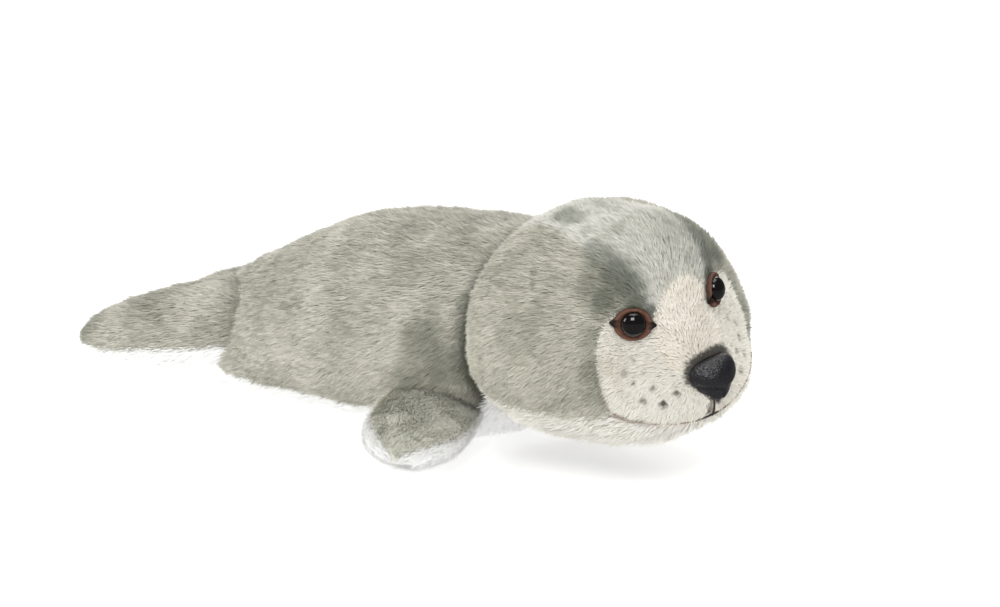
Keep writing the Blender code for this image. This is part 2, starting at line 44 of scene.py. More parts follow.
# The camera stands at the photograph's place, 35 degrees round from the side and 16 degrees up, and
# looks past the toy's origin, because the toy lies left of the frame's middle.
turn, rise = radians(35.0), radians(16.0)
back = Vector((sin(turn) * cos(rise), -cos(turn) * cos(rise), sin(rise)))
right = Vector((cos(turn), sin(turn), 0.0))
up = back.cross(right)
camera = bpy.data.objects.new("camera", bpy.data.cameras.new("camera"))
camera.data.lens = 88.3
camera.data.sensor_width = 36.0
camera.data.clip_start = 0.05
camera.location = back * 1.3
aim = right * (73.3 * 0.00053) + up * (108.0 * 0.00053)
camera.rotation_euler = (aim - camera.location).to_track_quat("-Z", "Y").to_euler()
scene.collection.objects.link(camera)
scene.camera = camera


# The studio: matt white paper under the toy, which the eye sees as white but which still takes the toy's
# shadow, a pale room round it, and four soft boxes. The paper and the room stay dim in reflections, so
# that the black eyes and nose keep one clear highlight each.
def feed(value, socket):
    if isinstance(value, bpy.types.Node):
        value = next(s for s in value.outputs if s.enabled)
    if isinstance(value, bpy.types.NodeSocket):
        socket.id_data.links.new(value, socket)
    else:
        socket.default_value = value


# One node: its kind, its choice or choices, and its inputs by place or by name. A shader node goes by
# its short name.
def add_node(tree, kind, choice=None, *values, **named):
    node = tree.nodes.new(kind if "Node" in kind else "ShaderNode" + kind)
    if isinstance(choice, str):
        switches = ("operation", "interpolation_type", "data_type", "attribute_name", "feature")
        choice = {next(s for s in switches if hasattr(node, s)): choice}
    for name, value in (choice or {}).items():
        setattr(node, name, value)
    for value, socket in zip(values, [s for s in node.inputs if s.enabled]):
        feed(value, socket)
    for name, value in named.items():
        feed(value, node.inputs[name.replace("_", " ")])
    return node


# Colours are written as sRGB and turned into the linear values that the shaders take.
def colour(code):
    parts = [int(code[i:i + 2], 16) / 255 for i in (1, 3, 5)]
    return (*[p / 12.92 if p <= 0.04045 else ((p + 0.055) / 1.055) ** 2.4 for p in parts], 1.0)


# A new material, its tree, its shader, and the place on the object, from which every pattern starts.
def new_material(name):
    made = bpy.data.materials.new(name)
    made.use_nodes = True
    tree = made.node_tree
    return made, tree, tree.nodes["Principled BSDF"], add_node(tree, "TexCoord").outputs["Object"]


floor_mesh = bpy.data.meshes.new("floor")
floor_mesh.from_pydata([(-6, -6, 0), (6, -6, 0), (6, 6, 0), (-6, 6, 0)], [], [(0, 1, 2, 3)])
floor = bpy.data.objects.new("floor", floor_mesh)
scene.collection.objects.link(floor)
paper, tree, shader, spot = new_material("white_paper")
shader.inputs["Roughness"].default_value = 0.9
rays = add_node(tree, "LightPath")
seen = rays.outputs["Is Camera Ray"]
unseen = add_node(tree, "Math", "MAXIMUM", seen, rays.outputs["Is Glossy Ray"])
unseen = add_node(tree, "Math", "SUBTRACT", 1.0, unseen)
# The paper also glows like a lamp for the light that bounces off it, lighting the toy from below.
unseen = add_node(tree, "Math", "MULTIPLY", unseen, 0.70)
shader.inputs["Emission Color"].default_value = (1.0, 1.0, 1.0, 1.0)
away = add_node(tree, "VectorMath", "LENGTH", spot)
glow = add_node(tree, "MapRange", "SMOOTHSTEP", away, 0.35, 1.0, 0.45, 1.0)
lit = add_node(tree, "Math", "MULTIPLY_ADD", seen, glow, unseen)
face = add_node(tree, "Mix", "RGBA", rays.outputs["Is Glossy Ray"], (0.86, 0.86, 0.86, 1.0),
                (0.16, 0.16, 0.16, 1.0))
feed(face, shader.inputs["Base Color"])
feed(lit, shader.inputs["Emission Strength"])
floor_mesh.materials.append(paper)

world = bpy.data.worlds.new("studio")
world.use_nodes = True
scene.world = world
tree = world.node_tree
rays = add_node(tree, "LightPath")
seen = add_node(tree, "Math", "MAXIMUM", rays.outputs["Is Camera Ray"], rays.outputs["Is Transmission Ray"])
room = add_node(tree, "Math", "MULTIPLY_ADD", seen, 0.45, 0.55)
room = add_node(tree, "Math", "MULTIPLY_ADD", rays.outputs["Is Glossy Ray"], -0.47, room)
tree.nodes["Background"].inputs["Color"].default_value = (1.0, 1.0, 1.0, 1.0)
feed(room, tree.nodes["Background"].inputs["Strength"])


def lamp(name, place, target, size, power):
    light = bpy.data.lights.new(name, "AREA")
    light.shape = "RECTANGLE"
    light.size, light.size_y = size
    light.energy = power
    made = bpy.data.objects.new(name, light)
    made.location = place
    made.rotation_euler = (Vector(target) - Vector(place)).to_track_quat("-Z", "Y").to_euler()
    scene.collection.objects.link(made)


lamp("key_softbox", (0.9, -1.5, 1.5), (0.05, 0, 0.05), (0.9, 0.9), 19.5)
lamp("fill_softbox", (-1.3, -1.3, 0.9), (0, 0, 0.05), (0.8, 0.8), 9.0)
lamp("top_softbox", (0.0, 0.2, 1.8), (0, 0, 0), (1.4, 1.4), 14.0)
lamp("back_softbox", (-0.7, 1.6, 1.1), (0, 0, 0.05), (1.0, 1.0), 9.0)


# The torso: two side panels of grey plush, sewn together along the spine, over a white belly panel that
# is pressed flat where the toy lies. The panels follow rings round the body through five sections, from
# the closed rump to the neck, which is turned to the animal's right.
def smooth_step(low, high, value):
    share = np.clip((value - low) / (high - low), 0.0, 1.0)
    return share * share * (3.0 - 2.0 * share)


def rest_on_floor(z):
    rounding = 0.002
    return np.where(z >= rounding, z, np.maximum(z + rounding, 0.0) ** 2 / (4 * rounding))


section_x = np.array([-0.133, -0.101, -0.035, 0.035, 0.084])
section_width = np.array([0.036, 0.046, 0.060, 0.065, 0.054])
section_top = np.array([0.062, 0.076, 0.105, 0.112, 0.112])
section_widest = np.array([0.027, 0.033, 0.044, 0.050, 0.058])
rump_share = 0.22
head_turn = radians(20.0)
turn_start = 0.040


def between(values, x):
    before = np.maximum(np.arange(5) - 1, 0)
    after = np.minimum(np.arange(5) + 1, 4)
    slopes = (values[after] - values[before]) / (section_x[after] - section_x[before])
    i = np.clip(np.searchsorted(section_x, x) - 1, 0, 3)
    span = section_x[i + 1] - section_x[i]
    t = (x - section_x[i]) / span
    start = (2 * t**3 - 3 * t**2 + 1) * values[i] + (t**3 - 2 * t**2 + t) * span * slopes[i]
    return start + (3 * t**2 - 2 * t**3) * values[i + 1] + (t**3 - t**2) * span * slopes[i + 1]


def chest_lift(x):
    return 0.30 * smooth_step(0.052, section_x[4], x)


# From turn_start on, the body bends to the animal's right: by what angle, and how far it has shifted.
def neck_turn(x):
    share = np.clip((x - turn_start) / (section_x[4] - turn_start), 0.0, 1.0)
    return head_turn * share, -tan(head_turn) * (section_x[4] - turn_start) * share**2 / 2


def torso(u, v):
    angle = pi / 2 * np.minimum(u / rump_share, 1.0)
    length = section_x[4] - section_x[1]
    x = np.where(
        u < rump_share,
        section_x[1] - (section_x[1] - section_x[0]) * np.cos(angle),
        section_x[1] + length * (u - rump_share) / (1 - rump_share),
    )
    closing = np.sin(angle)
    widest = between(section_widest, x)
    rise = (between(section_top, x) - widest) * closing
    fall = (widest + 0.006) * closing * (1.0 - chest_lift(x))
    across = between(section_width, x) * closing * np.sin(v)
    z = widest + np.where(np.cos(v) > 0, rise, fall) * np.cos(v)
    bend, shift = neck_turn(x)
    return np.stack([x + across * np.sin(bend), shift + across * np.cos(bend), rest_on_floor(z)], -1)


# A skin of backing cloth: a closed thin slab under the construction's surface, as deep as its pile is
# thick. It carries the way the pile is combed, where it is bare or short, how deep it is creased, and
# its own part of the map for baking.
pile_depth, fold_depth, cloth_thickness = 0.0030, 0.0026, 0.0008
lump_height, lumps_per_metre = 0.0009, 38.0
lowest_light_rise = 0.25


def skin(name, surface, centre, place, counts, comb, cover=None, pile=None, crease=None):
    rows, columns = counts
    s, t = np.meshgrid(np.linspace(0, 1, rows + 1), np.linspace(0, 1, columns + 1), indexing="ij")
    u, v = place(s, t)
    step = 1e-4
    ahead = surface(np.minimum(u + step, 1.0), v) - surface(np.minimum(u, 1.0) - step, v)
    round_it = surface(u, v + step) - surface(u, v - step)
    middle = surface(u, v)
    normal = np.cross(ahead, round_it)
    size = np.linalg.norm(normal, axis=-1, keepdims=True)
    outward = middle - np.array(centre)
    outward /= np.linalg.norm(outward, axis=-1, keepdims=True)
    normal = np.where(size > 1e-13, normal / np.maximum(size, 1e-13), outward)
    normal *= np.sign(np.sum(normal * outward, axis=-1, keepdims=True))
    lumps = [noise.noise(Vector(p) * lumps_per_metre) for p in middle.reshape(-1, 3)]
    lumps = np.array(lumps).reshape(u.shape)
    # How far the skin is drawn in at a crease, which also sets how much painted shade its pile takes there.
    fold_and_shade = np.zeros(u.shape) if crease is None else crease(u, v)
    sunk = pile_depth - lump_height * lumps + fold_depth * np.minimum(fold_and_shade, 1.0)
    outer = middle - normal * sunk[..., None]
    inner = outer - normal * cloth_thickness
    ahead /= np.maximum(np.linalg.norm(ahead, axis=-1, keepdims=True), 1e-9)
    round_it /= np.maximum(np.linalg.norm(round_it, axis=-1, keepdims=True), 1e-9)
    a, b = comb(u, v)
    way = ahead * a[..., None] + round_it * b[..., None]
    ground = normal.copy()
    ground[..., 2] = np.maximum(ground[..., 2], lowest_light_rise)
    ground /= np.linalg.norm(ground, axis=-1, keepdims=True)
    points = np.concatenate([outer.reshape(-1, 3), inner.reshape(-1, 3)])
    total = (rows + 1) * (columns + 1)
    i, j = np.meshgrid(np.arange(rows), np.arange(columns), indexing="ij")
    a0 = (i * (columns + 1) + j).ravel()
    outside = np.stack([a0, a0 + 1, a0 + columns + 2, a0 + columns + 1], 1)
    inside = outside[:, ::-1] + total
    edge = list(range(columns + 1))
    edge += [k * (columns + 1) + columns for k in range(1, rows + 1)]
    edge += [rows * (columns + 1) + k for k in range(columns - 1, -1, -1)]
    edge += [k * (columns + 1) for k in range(rows - 1, 0, -1)]
    rim = [(p, p + total, q + total, q) for p, q in zip(edge, edge[1:] + edge[:1])]
    faces = [tuple(int(k) for k in f) for f in outside] + [tuple(int(k) for k in f) for f in inside] + rim
    mesh = bpy.data.meshes.new(name)
    mesh.from_pydata(points.tolist(), [], faces)
    first = mesh.polygons[len(outside) // 2]
    if first.normal.dot(Vector(normal.reshape(-1, 3)[first.vertices[0]])) < 0:
        mesh.flip_normals()
    mesh.shade_smooth()
    shares = np.stack([s.ravel(), t.ravel()], 1)
    shares = np.concatenate([shares, shares])
    chart = mesh.uv_layers.new(name="OFBake")
    corner = np.zeros(len(mesh.loops), dtype=np.int32)
    mesh.loops.foreach_get("vertex_index", corner)
    chart.data.foreach_set("uv", (shares[corner] * (0.96, 0.17) + (0.02, 0.01)).ravel())
    covering = np.ones(u.shape) if cover is None else cover(middle, u, v)
    lengths = np.ones(u.shape) if pile is None else pile(middle, u, v)
    for label, kind, values in (
        ("comb", "FLOAT_VECTOR", np.concatenate([way.reshape(-1, 3)] * 2)),
        ("ground", "FLOAT_VECTOR", np.concatenate([ground.reshape(-1, 3)] * 2)),
        ("cover", "FLOAT", np.concatenate([covering.ravel(), np.zeros(total)])),
        ("pile", "FLOAT", np.concatenate([lengths.ravel()] * 2)),
        ("crease", "FLOAT", np.concatenate([fold_and_shade.ravel()] * 2)),
    ):
        store = mesh.attributes.new(label, kind, "POINT")
        store.data.foreach_set("vector" if kind == "FLOAT_VECTOR" else "value", values.ravel())
    made = bpy.data.objects.new(name, mesh)
    scene.collection.objects.link(made)
    return made


# One hair of the pile: a bent blade of two triangles, a unit long, with its place along it.
blade_mesh = bpy.data.meshes.new("blade")
blade_mesh.from_pydata(
    [(0, 0, 0), (0.5, 0.45, 0.10), (-0.5, 0.45, 0.10), (0, 1, 0.04)], [], [(0, 1, 2), (2, 1, 3)]
)
blade_mesh.shade_smooth()
along = blade_mesh.attributes.new("along", "FLOAT", "POINT")
along.data.foreach_set("value", [0.0, 0.45, 0.45, 1.0])
cell = blade_mesh.attributes.new("cell", "FLOAT_VECTOR", "POINT")
cell.data.foreach_set("vector", [0.5, 0.1, 0, 0.9, 0.5, 0, 0.1, 0.5, 0, 0.5, 0.9, 0])
blade = bpy.data.objects.new("blade", blade_mesh)
scene.collection.objects.link(blade)

# The pile: blades on the skin, laid along its comb, with swirls and tufts and a fixed seed.
growth = bpy.data.node_groups.new("pile", "GeometryNodeTree")
for label, kind in (
    ("Skin", "NodeSocketGeometry"), ("Blade", "NodeSocketObject"), ("Plush", "NodeSocketMaterial"),
    ("Density", "NodeSocketFloat"), ("Length", "NodeSocketFloat"), ("Width", "NodeSocketFloat"),
    ("Lift", "NodeSocketFloat"), ("Swirl", "NodeSocketFloat"), ("Scatter", "NodeSocketFloat"),
    ("Seed", "NodeSocketInt"),
):
    growth.interface.new_socket(label, in_out="INPUT", socket_type=kind)
growth.interface.new_socket("Skin", in_out="OUTPUT", socket_type="NodeSocketGeometry")
given = growth.nodes.new("NodeGroupInput").outputs
covered = add_node(growth, "GeometryNodeInputNamedAttribute", "FLOAT", "cover")
density = add_node(growth, "Math", "MULTIPLY", given["Density"], covered)
spread = add_node(growth, "GeometryNodeDistributePointsOnFaces", {"distribute_method": "RANDOM"},
                  Mesh=given["Skin"], Seed=given["Seed"])
feed(density, next(s for s in spread.inputs if s.name == "Density" and s.enabled))
place = add_node(growth, "GeometryNodeInputPosition")
swirls = add_node(growth, "TexNoise", Vector=place, Scale=55.0, Detail=2.0).outputs["Color"]
tufts = add_node(growth, "TexNoise", Vector=place, Scale=210.0, Detail=1.0).outputs["Color"]
heading = add_node(growth, "GeometryNodeInputNamedAttribute", "FLOAT_VECTOR", "comb")
for noisy in (swirls, tufts):
    bend = add_node(growth, "VectorMath", "SUBTRACT", noisy, (0.5, 0.5, 0.5))
    bend = add_node(growth, "VectorMath", "SCALE", bend, given["Swirl"])
    heading = add_node(growth, "VectorMath", "ADD", heading, bend)
loose = add_node(growth, "FunctionNodeRandomValue", "FLOAT_VECTOR", (-1, -1, -1), (1, 1, 1), Seed=1)
loose = add_node(growth, "VectorMath", "SCALE", loose, given["Scatter"])
heading = add_node(growth, "VectorMath", "ADD", heading, loose)
stand = add_node(growth, "VectorMath", "SCALE", spread.outputs["Normal"], given["Lift"])
heading = add_node(growth, "VectorMath", "ADD", heading, stand)
turned = add_node(growth, "FunctionNodeAxesToRotation", {"primary_axis": "Y", "secondary_axis": "Z"},
                  Primary_Axis=heading, Secondary_Axis=spread.outputs["Normal"])
long = add_node(growth, "GeometryNodeInputNamedAttribute", "FLOAT", "pile")
long = add_node(growth, "Math", "MULTIPLY", given["Length"], long)
uneven = add_node(growth, "FunctionNodeRandomValue", "FLOAT", 0.75, 1.2, Seed=2)
long = add_node(growth, "Math", "MULTIPLY", long, uneven)
size = add_node(growth, "CombineXYZ", None, given["Width"], long, long)
picked = add_node(growth, "GeometryNodeObjectInfo", Object=given["Blade"]).outputs["Geometry"]
blades = add_node(growth, "GeometryNodeInstanceOnPoints", Points=spread.outputs["Points"],
                  Instance=picked, Rotation=turned, Scale=size)
number = add_node(growth, "GeometryNodeInputIndex")
counted = blades
for label, kind, value in (
    ("shade", "FLOAT", add_node(growth, "FunctionNodeRandomValue", "FLOAT", 0.0, 1.0, Seed=3)),
    ("ground", "FLOAT_VECTOR", add_node(growth, "GeometryNodeInputNamedAttribute", "FLOAT_VECTOR", "ground")),
    ("number", "FLOAT", number),
):
    counted = add_node(growth, "GeometryNodeStoreNamedAttribute", {"data_type": kind, "domain": "INSTANCE"},
                       Geometry=counted, Name=label, Value=value)
whole = add_node(growth, "GeometryNodeAttributeDomainSize", {"component": "INSTANCES"}, Geometry=counted)
real = add_node(growth, "GeometryNodeRealizeInstances", None, counted)
x, y, z = add_node(growth, "SeparateXYZ", None, place).outputs
above_floor = add_node(growth, "Math", "MAXIMUM", z, 0.0003)
kept = add_node(growth, "CombineXYZ", None, x, y, above_floor)
real = add_node(growth, "GeometryNodeSetPosition", Geometry=real, Position=kept)

# Every blade has its own cell of the map for baking, in rows and columns above the strip of the skin.
rows = add_node(growth, "Math", "SQRT", whole.outputs["Instance Count"])
rows = add_node(growth, "Math", "CEIL", rows)
number = add_node(growth, "GeometryNodeInputNamedAttribute", "FLOAT", "number")
column = add_node(growth, "Math", "MODULO", number, rows)
row = add_node(growth, "Math", "DIVIDE", number, rows)
row = add_node(growth, "Math", "FLOOR", row)
corner = add_node(growth, "CombineXYZ", None, column, row)
inside = add_node(growth, "GeometryNodeInputNamedAttribute", "FLOAT_VECTOR", "cell")
chart = add_node(growth, "VectorMath", "ADD", corner, inside)
one_cell = add_node(growth, "Math", "DIVIDE", 1.0, rows)
chart = add_node(growth, "VectorMath", "SCALE", chart, one_cell)
chart = add_node(growth, "VectorMath", "MULTIPLY_ADD", chart, (0.98, 0.78, 0.0), (0.01, 0.21, 0.0))
mapped = add_node(growth, "GeometryNodeStoreNamedAttribute", {"data_type": "FLOAT2", "domain": "CORNER"},
                  Geometry=real, Name="OFBake", Value=chart)
joined = growth.nodes.new("GeometryNodeJoinGeometry")
feed(given["Skin"], joined.inputs[0])
feed(mapped, joined.inputs[0])
done = add_node(growth, "GeometryNodeSetMaterial", Geometry=joined, Material=given["Plush"])
result = growth.nodes.new("NodeGroupOutput")
feed(done, result.inputs["Skin"])
sockets = {s.name: s.identifier for s in growth.interface.items_tree if s.in_out == "INPUT"}
counts = {}
hair_width = 0.00036


def grow(piece, plush, density, length, lift=0.42, swirl=0.9, scatter=0.28, seed=1):
    pile = piece.modifiers.new("pile", "NODES")
    pile.node_group = growth
    values = {"Blade": blade, "Plush": plush, "Density": density, "Length": length, "Width": hair_width,
              "Lift": lift, "Swirl": swirl, "Scatter": scatter, "Seed": seed}
    for label, value in values.items():
        pile[sockets[label]] = value
    evaluated = piece.evaluated_get(bpy.context.evaluated_depsgraph_get())
    mesh = bpy.data.meshes.new_from_object(evaluated, preserve_all_data_layers=True,
                                           depsgraph=bpy.context.evaluated_depsgraph_get())
    piece.modifiers.clear()
    piece.data = mesh
    counts[piece.name] = sum(len(p.vertices) - 2 for p in mesh.polygons)


# Airbrushed patches and spots, and painted shade beside the face seam: each is a centre, a radius, and
# how much of the paint lies there. Their edges are ragged by 4 mm, as sprayed pile is.
def sprayed(tree, spot, places, soft):
    ragged = add_node(tree, "TexNoise", Vector=spot, Scale=260.0, Detail=2.0).outputs["Color"]
    shift = add_node(tree, "VectorMath", "MULTIPLY_ADD", ragged, (0.004, 0.004, 0.004), spot)
    total = None
    for centre, radius, strength in places:
        middle = tuple(c + 0.002 for c in centre)
        far = add_node(tree, "VectorMath", "DISTANCE", shift, middle)
        share = add_node(tree, "MapRange", "SMOOTHSTEP", far, radius * soft, radius, strength, 0.0)
        total = share if total is None else add_node(tree, "Math", "MAXIMUM", total, share)
    return total


# Polyester plush: short dull pile with a soft sheen. It looks mottled from the way its fibres lie, and each
# fibre differs a little. The fibres are painted darker at their roots, as painted shade deep in the pile, and
# where the skin is creased the pile is painted with shade. The light falls on it partly as on the smooth
# ground under it, because real pile is far finer than these blades.
def plush(name, light, middle, dark, paint, places, soft=0.4, root=0.80, fold_shade="#55574B", rim=False, even=0.5):
    made, tree, shader, spot = new_material(name)
    broad = add_node(tree, "TexNoise", Vector=spot, Scale=38.0, Detail=3.0)
    stretched = add_node(tree, "Mapping", Vector=spot, Scale=(110.0, 420.0, 420.0))
    streaks = add_node(tree, "TexNoise", Vector=stretched, Scale=1.0, Detail=2.0)
    shade = add_node(tree, "Attribute", "shade").outputs["Fac"]
    along = add_node(tree, "Attribute", "along").outputs["Fac"]
    crease_shade = add_node(tree, "Attribute", "crease").outputs["Fac"]
    tone = add_node(tree, "Math", "MULTIPLY_ADD", broad, 0.9, -0.69)
    tone = add_node(tree, "Math", "MULTIPLY_ADD", streaks, 0.9, tone)
    tone = add_node(tree, "Math", "MULTIPLY_ADD", shade, 0.40, tone)
    tone = add_node(tree, "Clamp", Value=tone)
    low_half = add_node(tree, "MapRange", None, tone, 0.0, 0.5)
    high_half = add_node(tree, "MapRange", None, tone, 0.4, 1.0)
    full = add_node(tree, "Mix", "RGBA", low_half, colour(dark), colour(middle))
    full = add_node(tree, "Mix", "RGBA", high_half, full, colour(light))
    if places:
        full = add_node(tree, "Mix", "RGBA", sprayed(tree, spot, places, soft), full, colour(paint))
    if rim:
        full = add_node(tree, "Mix", "RGBA", nose_rim(tree, spot), full, colour("#2B2622"))
    # Painted shade in the creases: the pile takes the fold colour as far as the skin is drawn in.
    fold_and_shade = add_node(tree, "Math", "MINIMUM", crease_shade, 0.92)
    full = add_node(tree, "Mix", "RGBA", fold_and_shade, full, colour(fold_shade))
    # Painted shade deep in the pile: each fibre is darker towards its root.
    root_shade = add_node(tree, "MapRange", None, along, 0.0, 0.55, root, 1.0)
    feed(add_node(tree, "VectorMath", "SCALE", full, root_shade), shader.inputs["Base Color"])
    ground = add_node(tree, "Attribute", "ground").outputs["Vector"]
    face = add_node(tree, "NewGeometry").outputs["Normal"]
    feed(add_node(tree, "Mix", "VECTOR", even, face, ground), shader.inputs["Normal"])
    shader.inputs["Roughness"].default_value = 0.75
    shader.inputs["Sheen Weight"].default_value = 0.25
    shader.inputs["Sheen Roughness"].default_value = 0.4
    shader.inputs["Specular IOR Level"].default_value = 0.3
    return made


body_patches = [
    ((0.040, -0.063, 0.058), 0.017, 0.55), ((0.050, -0.061, 0.047), 0.015, 0.50),
    ((0.034, -0.064, 0.040), 0.014, 0.40), ((0.040, 0.063, 0.055), 0.020, 0.55),
    ((-0.112, -0.040, 0.040), 0.016, 0.35), ((-0.112, 0.040, 0.040), 0.016, 0.35),
    ((-0.190, -0.046, 0.030), 0.019, 0.50), ((-0.190, 0.046, 0.030), 0.019, 0.50),
    ((-0.155, -0.040, 0.040), 0.024, 0.30), ((-0.155, 0.040, 0.040), 0.024, 0.30),
    ((0.061, -0.055, 0.078), 0.008, 0.35), ((0.005, -0.030, 0.103), 0.012, 0.25),
]
# The fold colour of each plush is the painted shade for its creases.
body_grey = plush("grey_plush_body", "#DFDCD0", "#C3C0B2", "#969687", "#666A5C", body_patches)
white_plush = plush("white_plush", "#FFFFFF", "#FDFDFC", "#F2F2EF", "#FFFFFF", [], root=0.95, fold_shade="#B8B4AA",
                    even=0.15)


# The belly panel reaches up to this height above the floor, and starts a little ahead of the rump's end.
belly_height, rump_end = 0.013, 0.02
torso_middle = (0.0, 0.0, 0.050)


def torso_run(s):
    return rump_end + (1.0 - rump_end) * s


def belly_angle(u):
    low = np.full(np.shape(u), pi / 2)
    high = np.full(np.shape(u), pi)
    chest = np.where(u > rump_share, torso(u, high)[..., 2], 0.0)
    for _ in range(22):
        middle = (low + high) / 2
        above = torso(np.maximum(u, rump_end), middle)[..., 2] > belly_height + chest
        low = np.where(above, middle, low)
        high = np.where(above, high, middle)
    return low


def backwards(slant):
    return lambda u, v: (np.full(u.shape, -1.0), slant * np.sin(v))


# The sides go down into the fold at the neck, less on the left, which the turned head opens; the pile in the
# fold is painted with shade.
def torso_fold(u, v):
    return smooth_step(0.945, 0.985, u) * (1.0 - 0.55 * smooth_step(0.0, 1.2, v))


# A finished panel takes the place of its solid.
def sewn_in(piece, node):
    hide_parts(node)
    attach(piece, "root")


for side, word, density in ((-1, "right", 3.1e6), (1, "left", 2.4e6)):
    piece = skin("plush_torso_" + word, torso, torso_middle,
                 lambda s, t: (torso_run(s), side * belly_angle(torso_run(s)) * t),
                 (70, 44), backwards(0.35), crease=torso_fold)
    grow(piece, body_grey, density, 0.0058, seed=3 + side)
    sewn_in(piece, "torso_side_" + word)


def belly_place(s, t):
    edge = belly_angle(torso_run(s))
    return torso_run(s), edge + 2 * (pi - edge) * t


piece = skin("plush_belly", torso, torso_middle, belly_place, (70, 30), backwards(0.0))
grow(piece, white_plush, 1.2e6, 0.0070, lift=0.15, seed=9)
sewn_in(piece, "belly_panel")


# The head: a crown strip and two cheeks of grey plush, a cream bridge and muzzle, and a white chin, cut
# to the construction's dome with its brows, cheeks and snout swelling from it, and sewn on at the neck.
# It is turned to the animal's right and tilted.
neck_shift = -tan(head_turn) * (section_x[4] - turn_start) / 2
head_axis = Vector((cos(head_turn), -sin(head_turn), 0.0))
head_centre = Vector((section_x[4], neck_shift, 0.066)) + head_axis * 0.0383
head_turning = Matrix.Rotation(-head_turn, 3, "Z") @ Matrix.Rotation(radians(11.0), 3, "X")
head_matrix = np.array(head_turning)
neck_angle = radians(52.0)
head_front = 0.073
# Each swell: turn and rise of its direction in degrees, height, and spread in degrees.
swells = [
    (24, -18, 0.005, 17), (-24, -18, 0.005, 17), (0, -8, 0.006, 15), (25, 18, -0.006, 14),
    (-25, 18, -0.006, 14), (15, 46, 0.0085, 27), (-15, 46, 0.0085, 27), (0, -52, 0.001, 18),
]


def head(u, v):
    angle = neck_angle + (pi - neck_angle) * u
    along = -np.cos(angle) * np.where(angle > pi / 2, head_front, 0.038 / cos(neck_angle))
    ring = np.maximum(np.sin(angle), 0.0) ** 0.92
    rise = np.where(np.cos(v) > 0, 0.065, 0.051)
    spot = np.stack([along, 0.070 * ring * np.sin(v), rise * ring * np.cos(v)], -1)
    heading = spot / np.maximum(np.linalg.norm(spot, axis=-1, keepdims=True), 1e-9)
    swell = np.zeros(np.shape(along))
    for side_turn, lift, height, spread in swells:
        a, b = radians(side_turn), radians(lift)
        goal = np.array([cos(b) * cos(a), cos(b) * sin(a), sin(b)])
        apart = np.arccos(np.clip(heading @ goal, -1.0, 1.0))
        swell += height * np.exp(-((apart / radians(spread)) ** 2))
    swell *= smooth_step(0.0, head_front / 2, along)
    spot = spot + heading * swell[..., None]
    spot[..., 2] -= 0.011 * (np.maximum(along, 0.0) / head_front) ** 2
    placed = spot @ head_matrix.T + np.array(head_centre)
    placed[..., 2] = rest_on_floor(placed[..., 2])
    return placed


# Where the eyes sit on the head, and the way they face.
def on_head(u, v):
    here = np.array([u])
    round_it = np.array([v])
    step = 1e-4
    point = head(here, round_it)[0]
    ahead = (head(here + step, round_it) - head(here - step, round_it))[0]
    across = (head(here, round_it + step) - head(here, round_it - step))[0]
    normal = np.cross(ahead, across)
    normal /= np.linalg.norm(normal)
    normal *= np.sign(normal @ (point - np.array(head_centre)))
    return Vector(point), Vector(normal)


eyes = {"right": on_head(0.719, -radians(38.0)), "left": on_head(0.740, radians(29.0))}
nose_pole = Vector(head(np.array([1.0]), np.array([0.0]))[0])
head_forward = head_turning @ Vector((1, 0, 0))
head_up = head_turning @ Vector((0, 0, 1))
head_left = head_turning @ Vector((0, 1, 0))


# The pile is sprayed nearly black just outside the nose. The distance from the nose's outline is that
# of a rounded triangle: one half width to each side, and its lower corner down. The nose is sewn on a
# little to the animal's left of the head's middle.
nose_side = 0.0042


def nose_rim(tree, spot):
    half_width, height_over = 0.014, 0.0115
    ragged = add_node(tree, "TexNoise", Vector=spot, Scale=600.0, Detail=2.0)
    away = add_node(tree, "VectorMath", "SUBTRACT", spot, tuple(nose_pole))
    aside = add_node(tree, "VectorMath", "DOT_PRODUCT", away, tuple(head_left))
    above = add_node(tree, "VectorMath", "DOT_PRODUCT", away, tuple(head_up))
    wide = add_node(tree, "Math", "SUBTRACT", aside, nose_side)
    wide = add_node(tree, "Math", "ABSOLUTE", wide)
    wide = add_node(tree, "Math", "DIVIDE", wide, half_width)
    under = add_node(tree, "Math", "SUBTRACT", 0.0035, above)
    under = add_node(tree, "Math", "MAXIMUM", under, 0.0)
    under = add_node(tree, "Math", "DIVIDE", under, half_width)
    over = add_node(tree, "Math", "SUBTRACT", above, 0.0015)
    over = add_node(tree, "Math", "MAXIMUM", over, 0.0)
    over = add_node(tree, "Math", "DIVIDE", over, height_over)
    below = add_node(tree, "Math", "ADD", wide, under)
    below = add_node(tree, "Math", "POWER", below, 3.0)
    over = add_node(tree, "Math", "POWER", over, 3.0)
    far = add_node(tree, "Math", "ADD", below, over)
    far = add_node(tree, "Math", "POWER", far, 1 / 3)
    far = add_node(tree, "Math", "ADD", far, 0.17)
    far = add_node(tree, "Math", "MULTIPLY_ADD", ragged, -0.35, far)
    return add_node(tree, "MapRange", "SMOOTHSTEP", far, 1.02, 1.27, 0.9, 0.0)


def both_sides(marks):
    return [(tuple(on_head(u, radians(side * v))[0]), r, share)
            for u, v, r, share in marks for side in (-1, 1)]


